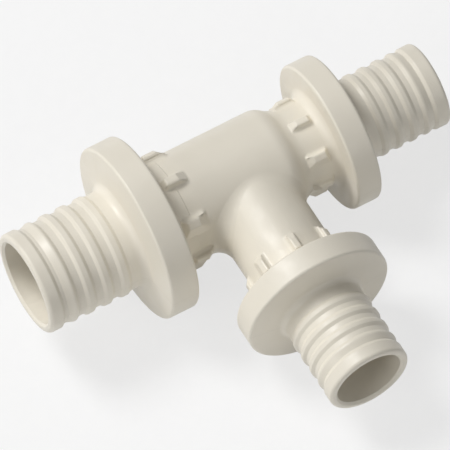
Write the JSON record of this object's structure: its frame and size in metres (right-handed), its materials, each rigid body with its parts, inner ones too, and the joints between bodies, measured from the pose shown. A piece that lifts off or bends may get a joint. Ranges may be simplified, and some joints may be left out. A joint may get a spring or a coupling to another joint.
{
  "type": "pipe tee",
  "caption": "Moulded reducing tee with barbed spigots and stop collars: a straight run that narrows at one end and a small branch square to it, for plastic pipe.",
  "frame": {"origin": "the point where the run's axis and the branch's axis cross", "axes": "+X along the run towards its small end, the branch along -Y, +Z square to both"},
  "size_m": [0.0855, 0.0661, 0.0346],
  "materials": {
    "moulded_body": "fine satin, as moulded"
  },
  "bodies": {
    "root": {"tee_body": "moulded_body"}
  },
  "joints": []
}
